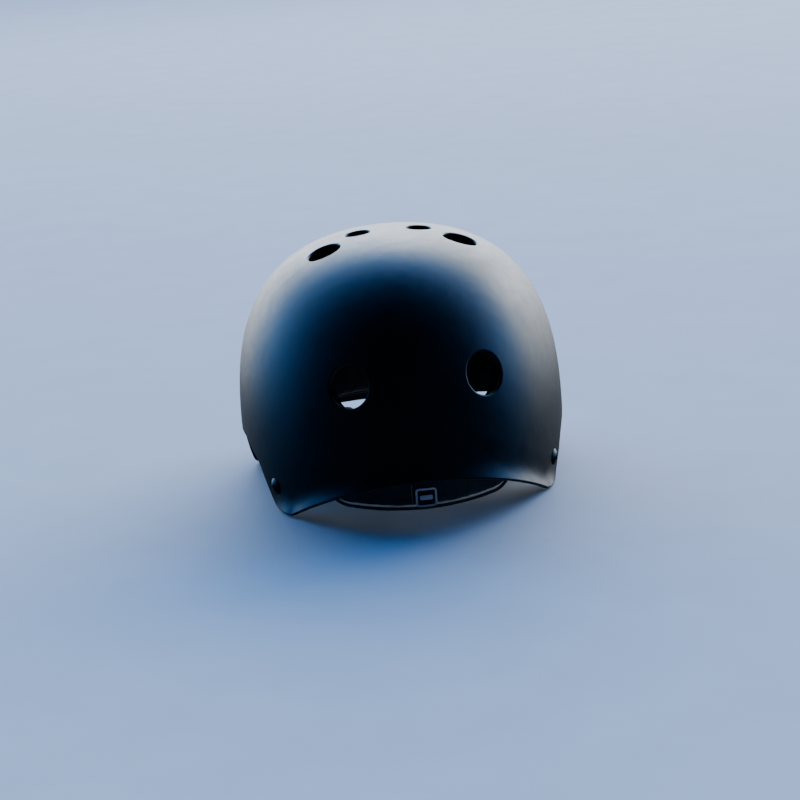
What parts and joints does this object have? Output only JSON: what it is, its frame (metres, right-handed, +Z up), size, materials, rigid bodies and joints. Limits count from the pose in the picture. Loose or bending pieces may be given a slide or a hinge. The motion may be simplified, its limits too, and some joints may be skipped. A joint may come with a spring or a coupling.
{
  "type": "water sports helmet",
  "caption": "Hard-shell water sports helmet with round vents, foam liner, comfort pads, screwed strap anchors, side strap dividers and a side-release chin buckle.",
  "frame": {"origin": "on the surface the rim rests on, under the middle of the helmet", "axes": "-Y toward the forehead brim, +X toward the wearer's left, +Z up through the crown"},
  "size_m": [0.223, 0.2722, 0.1696],
  "materials": {
    "shell_abs": "satin moulded ABS",
    "eva_foam": "closed-cell EVA foam, fine skin",
    "pad_fabric": "brushed polyester knit",
    "hook_nylon": "hook tape",
    "label_weave": "woven label",
    "blackened_steel": "black oxide",
    "stainless_steel": "plain",
    "webbing": "woven polypropylene webbing",
    "acetal": "moulded acetal",
    "keeper_rubber": "moulded rubber"
  },
  "bodies": {
    "root": {"outer_shell": "shell_abs", "foam_liner": "eva_foam", "hook_dots": "hook_nylon", "front_pad": "pad_fabric", "rear_pad": "pad_fabric", "left_pad": "pad_fabric", "right_pad": "pad_fabric", "crown_pad": "pad_fabric", "pad_label": "label_weave", "temple_screws": "blackened_steel", "rear_screws": "blackened_steel", "anchor_washers": "stainless_steel", "anchor_nuts": "stainless_steel", "front_strap_left": "webbing", "front_strap_right": "webbing", "rear_strap_left": "webbing", "rear_strap_right": "webbing", "divider_left": "acetal", "divider_right": "acetal", "lever_pins": "stainless_steel", "chin_strap_left": "webbing", "chin_strap_right": "webbing", "buckle_socket": "acetal"},
    "plug": {"buckle_plug": "acetal"},
    "prong_front": {"prong_front": "acetal"},
    "prong_rear": {"prong_rear": "acetal"},
    "keeper": {"strap_keeper": "keeper_rubber"},
    "lever_left": {"lever_left": "acetal"},
    "lever_right": {"lever_right": "acetal"}
  },
  "joints": [
    {"name": "buckle_release", "type": "slide", "parent": "root", "child": "plug", "axis": [1, 0, 0], "range_m": [0, 0.008], "deforming": ["chin_strap_left"]},
    {"name": "prong_front_flex", "type": "hinge", "parent": "plug", "child": "prong_front", "pos_m": [0.002, -0.0036, 0.0042], "axis": [0, 0, -1], "range_deg": [0, 10.5]},
    {"name": "prong_rear_flex", "type": "hinge", "parent": "plug", "child": "prong_rear", "pos_m": [0.002, 0.0116, 0.0042], "axis": [0, 0, 1], "range_deg": [0, 10.5]},
    {"name": "keeper_slide", "type": "slide", "parent": "root", "child": "keeper", "axis": [0.2281, 0, 0.9736], "range_m": [-0.002, 0.01]},
    {"name": "lever_left_swing", "type": "hinge", "parent": "root", "child": "lever_left", "pos_m": [0.072, 0.004, 0.0066], "axis": [0, 1, 0], "range_deg": [0, 100]},
    {"name": "lever_right_swing", "type": "hinge", "parent": "root", "child": "lever_right", "pos_m": [-0.072, 0.004, 0.0066], "axis": [0, -1, 0], "range_deg": [0, 100]}
  ],
  "couplings": [
    {"joint": "prong_front_flex", "follows": "buckle_release", "rad_per_m": 21.8},
    {"joint": "prong_rear_flex", "follows": "buckle_release", "rad_per_m": 21.8}
  ]
}
